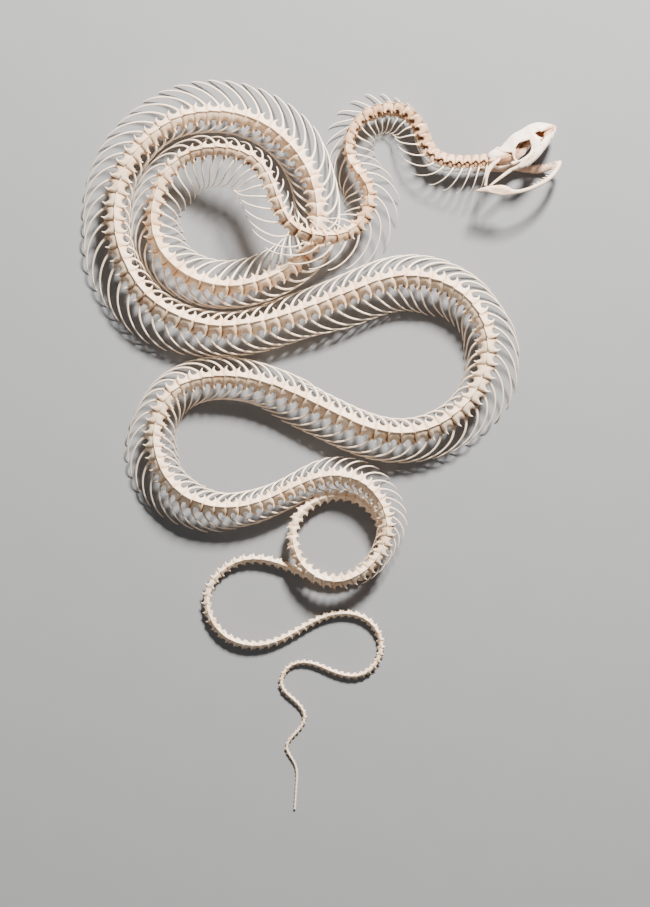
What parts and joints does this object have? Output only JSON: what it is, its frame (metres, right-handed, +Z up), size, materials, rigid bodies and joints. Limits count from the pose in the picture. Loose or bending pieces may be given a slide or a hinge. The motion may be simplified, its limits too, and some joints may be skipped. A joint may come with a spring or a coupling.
{
  "type": "snake skeleton",
  "caption": "Complete skeleton of a slender snake lying in open loops on a flat surface, with a toothed skull, long ribcage and thin tail.",
  "frame": {"origin": "middle of the skeleton in plan, on the surface that it lies on", "axes": "+Z up from the surface, +Y towards the head's end of the loops, +X towards the side that the snout points to"},
  "size_m": [0.2879, 0.4381, 0.0332],
  "materials": {
    "bone": "dry ivory bone, slightly waxy",
    "skull_bone": "dry pale bone, slightly waxy"
  },
  "bodies": {
    "root": {"neck_01": "bone", "neck_02": "bone", "neck_03": "bone", "neck_04": "bone", "neck_05": "bone", "trunk_01": "bone", "trunk_02": "bone", "trunk_03": "bone", "trunk_04": "bone", "trunk_05": "bone", "trunk_06": "bone", "trunk_07": "bone", "trunk_08": "bone", "trunk_09": "bone", "trunk_10": "bone", "trunk_11": "bone", "trunk_12": "bone", "trunk_13": "bone", "trunk_14": "bone", "trunk_15": "bone", "trunk_16": "bone", "trunk_17": "bone", "trunk_18": "bone", "trunk_19": "bone", "trunk_20": "bone", "trunk_21": "bone", "trunk_22": "bone", "trunk_23": "bone", "trunk_24": "bone", "trunk_25": "bone", "tail_01": "bone", "tail_02": "bone", "tail_03": "bone", "tail_04": "bone", "tail_05": "bone", "tail_06": "bone", "tail_07": "bone", "tail_08": "bone", "tail_09": "bone", "tail_10": "bone", "tail_11": "bone", "tail_12": "bone", "tail_13": "bone", "tail_14": "bone", "tail_15": "bone", "tail_16": "bone", "tail_17": "bone", "tail_18": "bone", "tail_19": "bone", "cranium": "skull_bone", "maxilla_right": "skull_bone", "maxilla_left": "skull_bone", "palate_right": "skull_bone", "palate_left": "skull_bone", "quadrate_right": "skull_bone", "quadrate_left": "skull_bone", "mandible_right": "skull_bone", "mandible_left": "skull_bone"}
  },
  "joints": []
}
